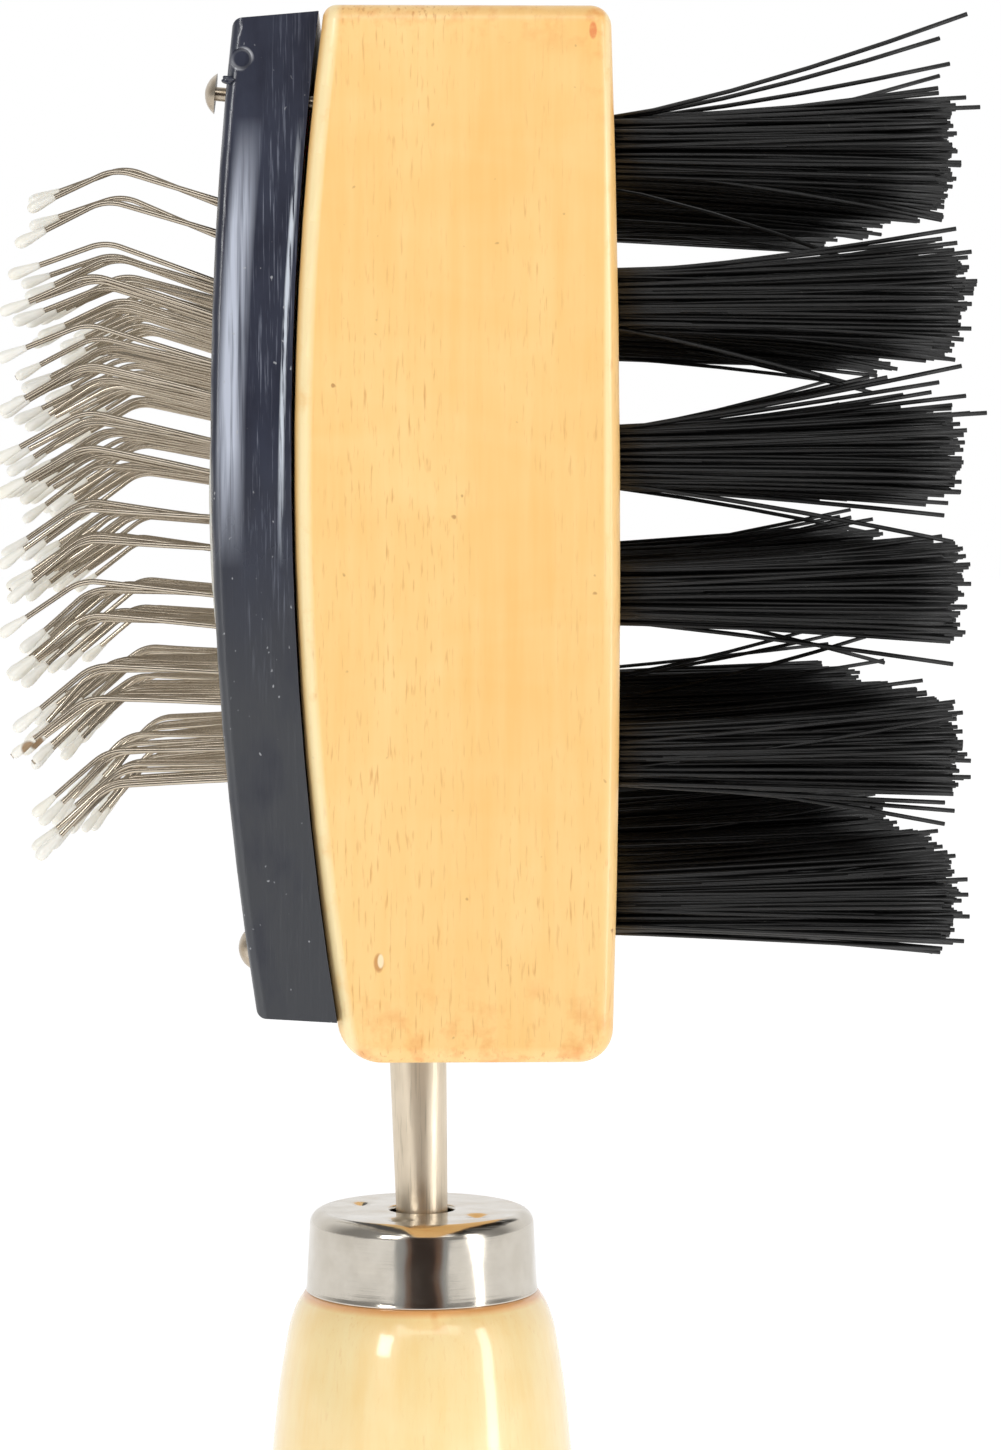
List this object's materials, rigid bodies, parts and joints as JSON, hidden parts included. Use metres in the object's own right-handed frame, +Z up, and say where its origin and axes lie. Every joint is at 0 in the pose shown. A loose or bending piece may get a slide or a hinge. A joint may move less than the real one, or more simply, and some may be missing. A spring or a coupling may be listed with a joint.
{
  "type": "two-sided grooming brush",
  "caption": "Grooming brush with a turned handle: a wide wood head with bristle tufts on one face and hooked, ball-tipped wire pins in a framed cushion on the other.",
  "frame": {"origin": "middle of the flat on the handle's butt end", "axes": "+Z runs up the handle to the head, +X points out of the bristle side and -X out of the pin side, and Y runs along the head's width"},
  "size_m": [0.0569, 0.0806, 0.1852],
  "materials": {
    "lacquered_wood": "clear gloss lacquer on pale wood",
    "nickel": "bright nickel plate",
    "steel": "drawn steel, dull plate",
    "block_wood": "pale wood under satin lacquer",
    "black_plastic": "moulded, scuffed gloss",
    "ivory_pad": "matt rubberised face",
    "backing_cloth": "plain weave",
    "foam": "open foam",
    "nail_metal": "nickel-washed, tarnished",
    "black_bristle": "nylon filament, faint sheen",
    "anchor_wire": "flat steel wire",
    "pin_wire": "bright drawn wire",
    "tip_enamel": "dipped white enamel"
  },
  "bodies": {
    "root": {"handle": "lacquered_wood", "ferrule": "nickel", "neck_rod": "steel", "head_block": "block_wood", "pad_frame": "black_plastic", "cushion_pad": "ivory_pad", "pad_backing": "backing_cloth", "foam_core": "foam", "frame_nails": "nail_metal", "bristle_row_1": "black_bristle", "tuft_anchors_1": "anchor_wire", "bristle_row_2": "black_bristle", "tuft_anchors_2": "anchor_wire", "bristle_row_3": "black_bristle", "tuft_anchors_3": "anchor_wire", "bristle_row_4": "black_bristle", "tuft_anchors_4": "anchor_wire", "bristle_row_5": "black_bristle", "tuft_anchors_5": "anchor_wire", "bristle_row_6": "black_bristle", "tuft_anchors_6": "anchor_wire", "pin_row_1": "pin_wire", "pin_tips_1": "tip_enamel", "pin_row_2": "pin_wire", "pin_tips_2": "tip_enamel", "pin_row_3": "pin_wire", "pin_tips_3": "tip_enamel", "pin_row_4": "pin_wire", "pin_tips_4": "tip_enamel", "pin_row_5": "pin_wire", "pin_tips_5": "tip_enamel", "pin_row_6": "pin_wire", "pin_tips_6": "tip_enamel", "pin_row_7": "pin_wire", "pin_tips_7": "tip_enamel", "pin_row_8": "pin_wire", "pin_tips_8": "tip_enamel"}
  },
  "joints": []
}
